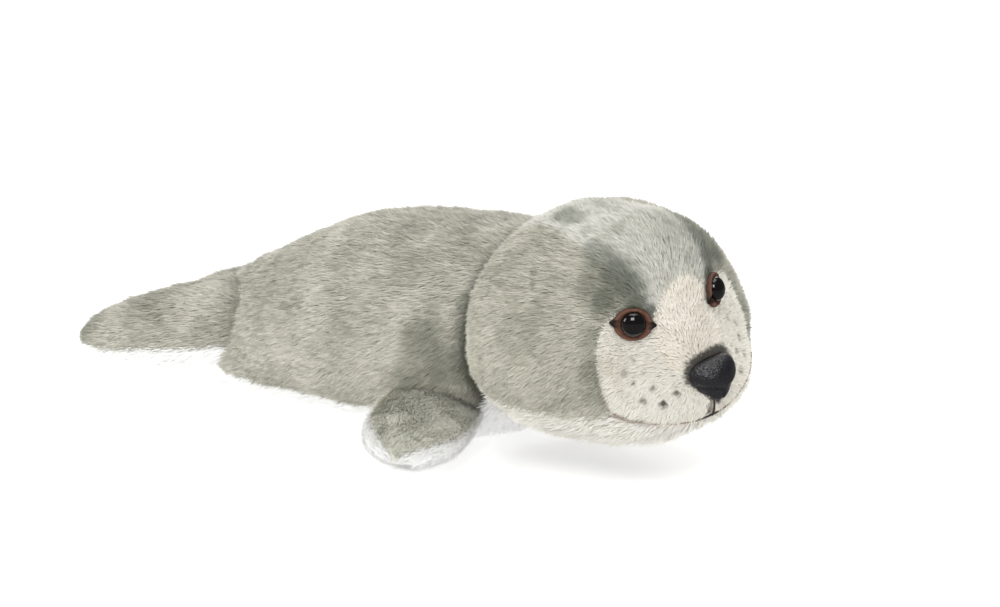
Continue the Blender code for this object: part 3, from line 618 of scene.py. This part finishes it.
# The marks on the head: the place on it, the radius and the strength, the same on both sides. The face
# shade is painted shade on the cheeks beside the face seam, where they bulge over it.
brow = both_sides([(0.640, 27, 0.0135, 0.85), (0.595, 26, 0.0140, 0.8), (0.548, 25, 0.0125, 0.65),
                   (0.505, 23, 0.0100, 0.5), (0.618, 37, 0.0125, 0.8), (0.565, 36, 0.0115, 0.55),
                   (0.690, 29, 0.0095, 0.85), (0.735, 27, 0.0065, 0.85)])
freckles = both_sides([(0.379, 41, 0.0035, 0.5), (0.400, 46, 0.003, 0.5), (0.457, 39, 0.003, 0.35),
                       (0.43, 57, 0.003, 0.3)])
face_shade = both_sides([(0.635, 58, 0.010, 0.35), (0.650, 75, 0.010, 0.35), (0.655, 90, 0.010, 0.3)])
cheek_grey = plush("grey_plush_cheeks", "#D9D5C8", "#BDBAAB", "#939282", "#666B5E",
                   brow + freckles + face_shade, soft=0.25)
# The crown's grey is lighter than the cheeks' and the body's: painted light on the top of the head.
crown_grey_lit = plush("grey_plush_crown", "#EBEAE3", "#D6D5CA", "#ABACA0", "#666B5E",
                   brow + [((0.110, -0.042, 0.127), 0.010, 0.6), ((0.118, -0.046, 0.128), 0.009, 0.5)])
whiskers = both_sides([(0.780, 78, 0.0029, 0.85), (0.835, 81, 0.0026, 0.75), (0.900, 91, 0.0029, 0.85),
                       (0.800, 93, 0.0028, 0.8), (0.855, 104, 0.0033, 0.95), (0.765, 60, 0.0026, 0.45),
                       (0.750, 71, 0.0028, 0.45)])
cream_plush = plush("cream_plush", "#FAF7EF", "#F1EDE1", "#DDD7C8", "#4A3D32", whiskers, fold_shade="#7A6A58",
                    rim=True)
# The bridge's cream is a little lighter than the muzzle's: painted light on the top of the snout.
bridge_cream_lit = plush("cream_plush_bridge", "#FFFAF0", "#FBF5E8", "#E9E2D1", "#4A3D32", [], rim=True)
# The chin's white is a little darker and creamier than the belly's, and darker at the roots: painted shade
# under the head.
chin_white_shaded = plush("white_plush_chin", "#FFFEFA", "#F6F3EA", "#DEDACD", "#FFFFFF", [], root=0.85,
                   fold_shade="#9C8E7C")


# Places on the head go from 0 at the neck to 1 at the nose. The panels start inside the torso's opening.
inside_neck, bridge_seam, face_seam, snout_opening, chin_front = -0.12, 0.705, 0.672, 0.97, 0.850


def strip_angle(u):
    share = smooth_step(0.2, bridge_seam, u)
    behind = radians(17.0) + radians(9.0) * share
    share = np.clip((u - bridge_seam) / (snout_opening - bridge_seam), 0.0, 1.0)
    return np.where(u < bridge_seam, behind, radians(26.0) + radians(36.0) * share**1.3)


mouth_places = [0.672, 0.697, 0.730, 0.772, 0.812, 0.838, 0.855, 0.870]
mouth_angles = np.radians([107.0, 104.0, 112.0, 119.0, 130.0, 146.0, 168.0, 180.0])


def lower_angle(u):
    return np.interp(u, mouth_places, mouth_angles)


# The seam round the face bows forward towards the mouth, and the cream bridge comes to a point.
def face_line(v):
    turns = np.radians([26, 30, 34, 40, 46, 60, 78, 95, 110])
    return np.interp(np.abs(v), turns, [0.757, 0.728, 0.698, 0.673, 0.655, 0.668, 0.686, 0.696, 0.700])


def bridge_line(v):
    return 0.713 + 0.044 * (np.minimum(np.abs(v), radians(30)) / radians(26)) ** 1.3


# The pile is pressed away under the eye surrounds and the nose, and gets shorter towards them.
def near_fittings(points):
    gaps = [np.linalg.norm(points - np.array(spot), axis=-1) - 0.0076 for spot, _ in eyes.values()]
    gaps.append(np.linalg.norm(points - np.array(nose_pole + head_left * nose_side), axis=-1) - 0.0090)
    return np.min(gaps, axis=0)


def head_cover(points, u, v):
    return smooth_step(-0.001, 0.001, near_fittings(points))


def head_pile(points, u, v):
    shorter = 0.6 + 0.4 * smooth_step(0.0, 0.012, near_fittings(points))
    return shorter * (0.35 + 0.65 * smooth_step(0.0, 0.07, u))


def head_panel(name, node, u_range, v_range, counts, comb, plush, density, length, seed, crease):
    low, high = u_range

    def place(s, t):
        u = (low(0) if callable(low) else low) + 0 * s
        for _ in range(6):
            start, end = v_range(u)
            v = start + (end - start) * t
            first = low(v) if callable(low) else low
            last = high(v) if callable(high) else high
            u = first + (last - first) * s
        return u, v

    piece = skin(name, head, head_centre, place, counts, comb, cover=head_cover, pile=head_pile,
                 crease=crease)
    grow(piece, plush, density, length, seed=seed)
    sewn_in(piece, node)


# The head's panels are drawn in at the neck, and the cheeks a little along the low face seam; the pile there
# is painted with shade.
def neck_fold(u, v):
    return (1.2 - 0.4 * smooth_step(0.1, 0.6, np.sin(v))) * (1.0 - smooth_step(0.0, 0.035, u))


def cheek_fold(u, v):
    low_side = smooth_step(radians(45), radians(75), np.abs(v))
    return np.maximum(neck_fold(u, v), 0.35 * low_side * smooth_step(-0.02, 0.0, u - face_line(v)))


# The muzzle is drawn in along the face seam, the mouth and the line from the mouth up to the nose, and its
# pile is painted with shade there.
def muzzle_fold(u, v):
    edge = lower_angle(u)
    low_side = smooth_step(radians(60), radians(95), np.abs(v))
    seam = 0.8 * low_side * (1.0 - smooth_step(0.0, 0.02, u - face_line(v)))
    mouth = (1.0 - smooth_step(radians(1), radians(10), edge - np.abs(v))) * smooth_step(0.67, 0.70, u)
    return np.maximum(seam, mouth)


# The chin is drawn in at the neck and along the mouth, and its pile is painted with shade there.
def chin_fold(u, v):
    edge = np.minimum(np.abs(v), np.abs(2 * pi - v)) - lower_angle(u)
    mouth = (1.0 - smooth_step(0.0, radians(7), np.abs(edge))) * smooth_step(0.67, 0.72, u)
    return np.maximum(neck_fold(u, v), 0.7 * mouth)


head_panel("plush_crown", "crown_gusset", (inside_neck, bridge_line),
           lambda u: (-strip_angle(u), strip_angle(u)), (60, 24), backwards(0.3), crown_grey_lit,
           3.4e6, 0.0056, 21, neck_fold)
head_panel("plush_bridge", "face_bridge", (bridge_line, snout_opening),
           lambda u: (-strip_angle(u), strip_angle(u)), (30, 40), backwards(0.5), bridge_cream_lit,
           4.6e6, 0.0040, 22, None)
for side, word, density in ((-1, "right", 3.2e6), (1, "left", 2.5e6)):
    def v_range(u, side=side):
        return side * strip_angle(u), side * lower_angle(u)

    head_panel("plush_cheek_" + word, "cheek_" + word, (inside_neck, face_line), v_range, (60, 50),
               backwards(0.7), cheek_grey, density, 0.0056, 24 + side, cheek_fold)
    head_panel("plush_muzzle_" + word, "muzzle_" + word, (face_line, snout_opening), v_range, (60, 80),
               backwards(0.6), cream_plush, density * 1.4, 0.0040, 28 + side, muzzle_fold)


def under_chin(u):
    start = lower_angle(u) + radians(4.0) * smooth_step(face_seam, 0.845, u)
    return start, 2 * pi - start


head_panel("plush_chin", "chin_panel", (inside_neck, chin_front), under_chin, (60, 40), backwards(0.0),
           chin_white_shaded, 1.3e6, 0.0056, 31, chin_fold)


# The flippers: a grey upper panel and a white lower one each, sewn together round the edge, filled, and
# sewn to the torso. Each has a root, a tip, a half width, a thickness and a roll in degrees.
front_flipper = ((0.034, -0.034, 0.022), (0.064, -0.120, 0.0145), 0.034, 0.029, 8.0)
hind_flipper = ((-0.100, -0.027, 0.043), (-0.203, -0.043, 0.021), 0.029, 0.050, 4.0)


def flipper(shape, side):
    root, tip, half_width, thickness, roll = shape
    root, tip = Vector(root), Vector(tip)
    root.y *= -side
    tip.y *= -side
    along = (tip - root).normalized()
    across = Vector((0, 0, 1)).cross(along).normalized()
    across.rotate(Matrix.Rotation(side * radians(roll), 3, along))
    out = along.cross(across)
    length = (tip - root).length

    def surface(u, v):
        full = np.maximum(np.cos(pi / 2 * u), 0.0) ** 0.62 * np.clip(1 + 3.5 * u, 0.3, 1.0)
        narrow = 0.80 + 0.20 * smooth_step(0.1, 0.6, u)
        reach = length * (1 - np.maximum(1 - u, 0.0) ** 1.6)
        wide = half_width * full * narrow * np.sin(v)
        thick = thickness / 2 * full * np.cos(v)
        spot = np.array(root) + reach[..., None] * np.array(along) + wide[..., None] * np.array(across)
        spot = spot + thick[..., None] * np.array(out)
        spot[..., 2] = rest_on_floor(spot[..., 2])
        return spot

    return surface, (root + tip) / 2


def inside_torso(points):
    x = np.clip(points[..., 0], section_x[0] + 0.0005, section_x[4])
    closing = np.where(x < section_x[1], np.sqrt(np.maximum(
        1 - ((section_x[1] - x) / (section_x[1] - section_x[0])) ** 2, 1e-6)), 1.0)
    widest = between(section_widest, x)
    rise = between(section_top, x) - widest
    fall = (widest + 0.006) * (1.0 - chest_lift(x))
    tall = np.where(points[..., 2] > widest, rise, fall) * closing
    wide = between(section_width, x) * closing
    off = np.hypot((points[..., 1] - neck_turn(x)[1]) / wide, (points[..., 2] - widest) / tall)
    return off < 0.82


# Where a flipper's surface comes out of the torso.
def leaving(surface, v):
    low = np.full(v.shape, -0.16)
    high = np.full(v.shape, 0.8)
    for _ in range(18):
        middle = (low + high) / 2
        held = inside_torso(surface(middle, v))
        low = np.where(held, middle, low)
        high = np.where(held, high, middle)
    return low


# The seams lie this many degrees round from the top, at the root and at the tip.
flipper_grey = plush("grey_plush_flippers", "#F4F3E9", "#E2E1D5", "#BCBEAF", "#5F6457", [],
                     root=0.92, even=0.15)
seams = {"front": (80.0, 4.0), "hind": (114.0, 80.0)}
for kind, shape, density in (("front", front_flipper, 3.4e6), ("hind", hind_flipper, 2.8e6)):
    for side, word in ((-1, "right"), (1, "left")):
        surface, centre = flipper(shape, side)
        for half, plush_made, slot, share in (
            ("upper", flipper_grey if kind == "front" else body_grey, "plush_grey", 1.0),
            ("lower", white_plush, "plush_white", 0.6),
        ):
            def place(s, t):
                edge = np.radians(seams[kind][0] + (seams[kind][1] - seams[kind][0]) * s**1.4)
                v = -edge + 2 * edge * t if half == "upper" else edge + (2 * pi - 2 * edge) * t
                start = leaving(surface, v)
                return start + (0.985 - start) * s, v

            name = kind + "_flipper_" + word + "_" + half
            # Each panel is drawn in where it leaves the torso, and its pile is painted with shade there.
            piece = skin("plush_" + name, surface, centre, place, (44, 34),
                         lambda u, v: (np.ones(u.shape), np.zeros(u.shape)),
                         crease=lambda u, v: 0.8 - 0.8 * smooth_step(0.0, 0.09, u - leaving(surface, v)))
            grow(piece, plush_made, density * share, 0.0062, lift=0.30, swirl=0.8, scatter=0.25,
                 seed=40 + len(counts))
            sewn_in(piece, name)


# The eyes: a polished black dome with its shank, in a surround of brown leather-look sheet whose two
# corners are pinched to dark points. Heights are above the head's surface, along the eye's own axis.
def closed_grid(name, points, finish, ring=False):
    rows, columns = points.shape[:2]
    last = rows if ring else rows - 1
    i, j = np.meshgrid(np.arange(last), np.arange(columns), indexing="ij")
    a = (i * columns + j).ravel()
    b = (i * columns + (j + 1) % columns).ravel()
    ahead = ((i + 1) % rows * columns - i * columns).ravel()
    faces = np.stack([a, b, b + ahead, a + ahead], 1).tolist()
    if not ring:
        faces.append(list(range(columns))[::-1])
        faces.append(list(range((rows - 1) * columns, rows * columns)))
    mesh = bpy.data.meshes.new(name)
    mesh.from_pydata(points.reshape(-1, 3).tolist(), [], faces)
    form = bmesh.new()
    form.from_mesh(mesh)
    bmesh.ops.recalc_face_normals(form, faces=form.faces)
    if form.calc_volume(signed=True) < 0:
        bmesh.ops.reverse_faces(form, faces=form.faces)
    form.to_mesh(mesh)
    form.free()
    mesh.shade_smooth()
    mesh.materials.append(finish)
    made = bpy.data.objects.new(name, mesh)
    scene.collection.objects.link(made)
    return made


def eye_axes(side, place, axis):
    across = head_up.cross(axis).normalized()
    across.rotate(Matrix.Rotation(side * radians(13.0), 3, axis))
    return np.array(across), np.array(axis.cross(across)), np.array(axis), np.array(place)


# Polished injection-moulded plastic: black and glossy, with only a faint haze.
polished, tree, shader, spot = new_material("polished_black_plastic")
haze = add_node(tree, "TexNoise", Vector=spot, Scale=900.0, Detail=2.0)
dark = add_node(tree, "Mix", "RGBA", haze, colour("#070606"), colour("#12100F"))
feed(dark, shader.inputs["Base Color"])
feed(add_node(tree, "Math", "MULTIPLY_ADD", haze, 0.03, 0.03), shader.inputs["Roughness"])
shader.inputs["Specular IOR Level"].default_value = 0.6

# Leather-look sheet: reddish brown, blotched, with a fine grain, and dark where it is cut or pinched.
leather, tree, shader, spot = new_material("brown_leather_look_sheet")
grain = add_node(tree, "TexVoronoi", "DISTANCE_TO_EDGE", Vector=spot, Scale=1100.0)
blotch = add_node(tree, "TexNoise", Vector=spot, Scale=420.0, Detail=3.0)
pinched = add_node(tree, "Attribute", "pinched").outputs["Fac"]
tone = add_node(tree, "Mix", "RGBA", blotch, colour("#3D271F"), colour("#75503F"))
tone = add_node(tree, "Mix", "RGBA", pinched, tone, colour("#1E1814"))
feed(tone, shader.inputs["Base Color"])
feed(add_node(tree, "Math", "MULTIPLY_ADD", blotch, 0.25, 0.40), shader.inputs["Roughness"])
shader.inputs["Specular IOR Level"].default_value = 0.25
bump = add_node(tree, "Bump", Height=grain, Distance=0.0002, Strength=0.5)
feed(bump, shader.inputs["Normal"])

dome_radius, dome_height = 0.0060, 0.0045
hole_radius, surround_half_width, surround_half_height = 0.0050, 0.0092, 0.0080
pinch_start = 0.955
# From the inner edge, 0, round the back to the outer edge, 1, and over the front: share and height.
surround = [(0.0, -0.0017), (0.5, -0.0017), (0.97, -0.0016), (1.0, -0.0011), (0.985, -0.0004), (0.93, 0.0002),
            (0.85, 0.0006), (0.74, 0.0008), (0.6, 0.0007), (0.45, 0.0003), (0.3, -0.0001), (0.15, -0.0005),
            (0.0, -0.0008)]
for side, word in ((-1, "right"), (1, "left")):
    across, rise, axis, place = eye_axes(side, *eyes[word])
    profile = [(0.0006, -0.0090), (0.0016, -0.0086), (0.0016, -0.0006), (0.0058, -0.0005)]
    profile.append((dome_radius, -0.0001))
    profile += [(dome_radius * cos(a), 0.0001 + dome_height * sin(a)) for a in np.arange(22) * pi / 44]
    turns = np.linspace(0, 2 * pi, 56, endpoint=False)
    rings = [place + r * (np.cos(turns)[:, None] * across + np.sin(turns)[:, None] * rise) + h * axis
             for r, h in profile]
    eye = closed_grid("safety_eye_" + word, np.array(rings), polished)
    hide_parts("eye_" + word)
    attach(eye, "root")

    turns = np.linspace(0, 2 * pi, 144, endpoint=False)
    corner = np.maximum(np.abs(np.cos(turns)) - pinch_start, 0.0) / 0.045
    reach = 1.0 + 0.22 * corner**1.8
    wavy = np.array([noise.noise(Vector((3 * cos(t), 3 * sin(t), side))) for t in turns])
    wide = surround_half_width * np.cos(turns) * reach * (1 + 0.02 * wavy)
    tall = surround_half_height * np.sin(turns) * (1 + 0.03 * wavy) - 0.0003
    loops = []
    for share, height in surround:
        inner = np.stack([hole_radius * np.cos(turns), hole_radius * np.sin(turns)], 1)
        outer = np.stack([wide, tall], 1)
        flat = inner + (outer - inner) * share
        low = height - 0.0009 * np.minimum(corner, 1.0) * (height > -0.001)
        ripple = 0.00012 * np.sin(turns * 17 + 3 * wavy) * (0.4 < share) * (height > 0)
        loops.append(place + flat[:, :1] * across + flat[:, 1:] * rise + (low + ripple)[:, None] * axis)
    rim = closed_grid("eye_surround_" + word, np.array(loops), leather, ring=True)
    pinch = rim.data.attributes.new("pinched", "FLOAT", "POINT")
    share_out = np.repeat(np.array([share for share, _ in surround])[:, None], len(turns), 1)
    dark_corner = np.clip(corner * 2.0, 0, 1)[None, :] * smooth_step(0.35, 0.7, share_out)
    edge_dark = 0.55 * smooth_step(0.93, 1.0, share_out)
    pinch.data.foreach_set("value", np.maximum(dark_corner, edge_dark).ravel())
    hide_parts("eye_rim_" + word)
    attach(rim, "root")


# The nose: black leather-look sheet over a pad, a rounded triangle with its lower corner down. Two
# seams run in from its sides and meet above that corner, and one runs on down to it.
outline = np.array([(14.0, 4.0), (13.2, 8.2), (9.5, 10.9), (4.5, 12.2), (0.0, 12.5), (-4.5, 12.2),
                    (-9.5, 10.9), (-13.2, 8.2), (-14.0, 4.0), (-11.6, -0.6), (-7.2, -5.2), (-2.6, -8.6),
                    (0.0, -9.3), (2.6, -8.6), (7.2, -5.2), (11.6, -0.6)]) / 1000
knots = len(outline)
turns = np.linspace(0, knots, 128, endpoint=False)
first = turns.astype(int)
t = (turns - first)[:, None]
p0, p1, p2, p3 = (outline[(first + k) % knots] for k in (-1, 0, 1, 2))
edge = p1 + 0.5 * t * (p2 - p0 + t * (2 * p0 - 5 * p1 + 4 * p2 - p3 + t * (3 * (p1 - p2) + p3 - p0)))
middle = np.array([0.0, 0.0025])
nose_half_width, nose_top, nose_bulge = 0.014, 0.0125, 0.0062
seams_meet = (0.0, -0.0030)


def seam_depth(y, z):
    away = np.full(y.shape, 1.0)
    for (ya, za), (yb, zb) in (((-0.0125, 0.0015), seams_meet), ((0.0125, 0.0015), seams_meet),
                               (seams_meet, (0.0, -0.0093))):
        run, climb = yb - ya, zb - za
        k = np.clip(((y - ya) * run + (z - za) * climb) / (run * run + climb * climb), 0, 1)
        away = np.minimum(away, np.hypot(y - ya - k * run, z - za - k * climb))
    return 0.0011 * np.exp(-((away / 0.0007) ** 2))


def nose_ring(share, lift):
    flat = middle + (edge - middle) * share
    y, z = flat[:, 0], flat[:, 1]
    base = -0.0062 * (y / nose_half_width) ** 2 - 0.0030 * (np.maximum(z, 0) / nose_top) ** 2
    full = np.sqrt(np.maximum(1 - share**2.6, 0)) * nose_bulge
    lower = 1.0 - smooth_step(-0.0055, 0.0005, z - 0.30 * np.abs(y))
    ahead = base + full * (1 - 0.50 * lower) - seam_depth(y, z) * (lift > 0) - (0.0 if lift > 0 else 0.0035)
    creases = np.array([noise.noise(Vector((a * 160, b * 160, 0.0))) for a, b in flat])
    ahead += 0.00035 * creases * (lift > 0) * share
    spot = np.array(nose_pole) + ahead[:, None] * np.array(head_forward)
    spot = spot + (y[:, None] + nose_side) * np.array(head_left)
    return spot + (0.94 * z[:, None] - 0.0003) * np.array(head_up)


shares = [0.02, 0.06] + [0.06 + 0.94 * k / 40 for k in range(1, 41)]
front = [nose_ring(k, 1) for k in shares]
behind = [nose_ring(k, 0) for k in (0.98, 0.6, 0.05)]
# Leather-look sheet with a grain of about 1.5 mm: near black, half glossy, so the light breaks up on it.
nose_leather, tree, shader, spot = new_material("black_leather_look_sheet")
grain = add_node(tree, "TexVoronoi", "DISTANCE_TO_EDGE", Vector=spot, Scale=620.0)
fine = add_node(tree, "TexNoise", Vector=spot, Scale=1500.0, Detail=3.0)
tone = add_node(tree, "Mix", "RGBA", fine, colour("#0E0D11"), colour("#242228"))
feed(tone, shader.inputs["Base Color"])
feed(add_node(tree, "Math", "MULTIPLY_ADD", fine, 0.20, 0.20), shader.inputs["Roughness"])
shader.inputs["Specular IOR Level"].default_value = 0.7
height = add_node(tree, "Math", "MULTIPLY_ADD", fine, 0.5, grain)
bump = add_node(tree, "Bump", Height=height, Distance=0.0007, Strength=0.6)
feed(bump, shader.inputs["Normal"])
nose = closed_grid("leather_look_nose", np.array(front + behind), nose_leather)
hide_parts("nose")
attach(nose, "root")


# The mouth: thread laid in the seam between muzzle and chin, drawn half under the pile, with a short
# stitch from its middle up to the nose.
# Twisted polyester thread: dull brown, nearly black by the nose, where the pile is sprayed too.
thread, tree, shader, spot = new_material("brown_sewing_thread")
strands = add_node(tree, "TexNoise", Vector=spot, Scale=1400.0, Detail=2.0)
centre_line = tuple(on_head(0.90, pi)[0])
away = add_node(tree, "VectorMath", "DISTANCE", spot, centre_line)
near_nose = add_node(tree, "MapRange", "SMOOTHSTEP", away, 0.004, 0.012, 1.0, 0.0)
tone = add_node(tree, "Mix", "RGBA", strands, colour("#6F6155"), colour("#A2917F"))
tone = add_node(tree, "Mix", "RGBA", near_nose, tone, colour("#332B26"))
feed(tone, shader.inputs["Base Color"])
shader.inputs["Roughness"].default_value = 0.8


def strand(name, way, radius, sink):
    path = []
    for (u0, v0), (u1, v1) in zip(way, way[1:]):
        path += [(u0 + (u1 - u0) * k / 6, v0 + (v1 - v0) * k / 6) for k in range(6)]
    path.append(way[-1])
    spots, normals = zip(*(on_head(u, radians(v)) for u, v in path))
    rings = []
    for k, (here, out) in enumerate(zip(spots, normals)):
        ahead = (spots[min(k + 1, len(spots) - 1)] - spots[max(k - 1, 0)]).normalized()
        beside = ahead.cross(out).normalized()
        size = radius * (0.35 if k in (0, len(spots) - 1) else 1.0)
        rings.append([tuple(here - out * sink + size * (out * cos(a) + beside * sin(a)))
                      for a in np.linspace(0, 2 * pi, 10, endpoint=False)])
    return closed_grid(name, np.array(rings), thread)


places = (0.697, 0.715, 0.73, 0.75, 0.772, 0.79, 0.812, 0.825, 0.838, 0.85, 0.858)
half = [(u, degrees(float(lower_angle(u)))) for u in places]
line = [(u, -v) for u, v in half] + [(0.864, -180.0)] + [(u, v - 360.0) for u, v in reversed(half)]
mouth = strand("mouth_thread", line, 0.0005, 0.0018)
middle_stitch = strand("middle_stitch", [(0.862, 180.0), (0.90, 180.0), (0.945, 180.0)], 0.00055, 0.0012)
for piece in (mouth, middle_stitch):
    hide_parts("mouth_stitch")
    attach(piece, "root")


# What stays inside keeps the construction's shapes: the fibre filling and the eyes' locking washers.
# Where the filling shows in the fold of the neck it is painted with shade, as dark as the pile beside it.
fibre, tree, shader, spot = new_material("polyester_fibre_filling")
wisps = add_node(tree, "TexNoise", Vector=spot, Scale=300.0, Detail=5.0, Distortion=1.5)
white = add_node(tree, "Mix", "RGBA", wisps, colour("#DCDCD8"), colour("#FFFFFF"))
# Painted shade on the filling where it shows in the neck's fold.
neck = (section_x[4], neck_shift, 0.060)
from_neck = add_node(tree, "VectorMath", "SUBTRACT", spot, neck)
from_neck = add_node(tree, "VectorMath", "DOT_PRODUCT", from_neck, tuple(head_axis))
from_neck = add_node(tree, "Math", "ABSOLUTE", from_neck)
shaded = add_node(tree, "MapRange", None, from_neck, 0.018, 0.030, 0.95, 0.0)
feed(add_node(tree, "Mix", "RGBA", shaded, white, colour("#5C5E52")), shader.inputs["Base Color"])
bump = add_node(tree, "Bump", Height=wisps, Distance=0.001, Strength=0.8)
feed(bump, shader.inputs["Normal"])
shader.inputs["Roughness"].default_value = 0.9

# Moulded polypropylene: off-white and half matt.
moulded, tree, shader, spot = new_material("moulded_washer_plastic")
speckle = add_node(tree, "TexNoise", Vector=spot, Scale=700.0)
tone = add_node(tree, "Mix", "RGBA", speckle, colour("#E4E2DC"), colour("#F3F1EC"))
feed(tone, shader.inputs["Base Color"])
shader.inputs["Roughness"].default_value = 0.45
for name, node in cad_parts.items():
    if "stuffing" in name or "washer" in name:
        node.data.materials.clear()
        node.data.materials.append(fibre if "stuffing" in name else moulded)


bpy.data.objects.remove(blade, do_unlink=True)
print("triangles", sum(counts.values()), counts)
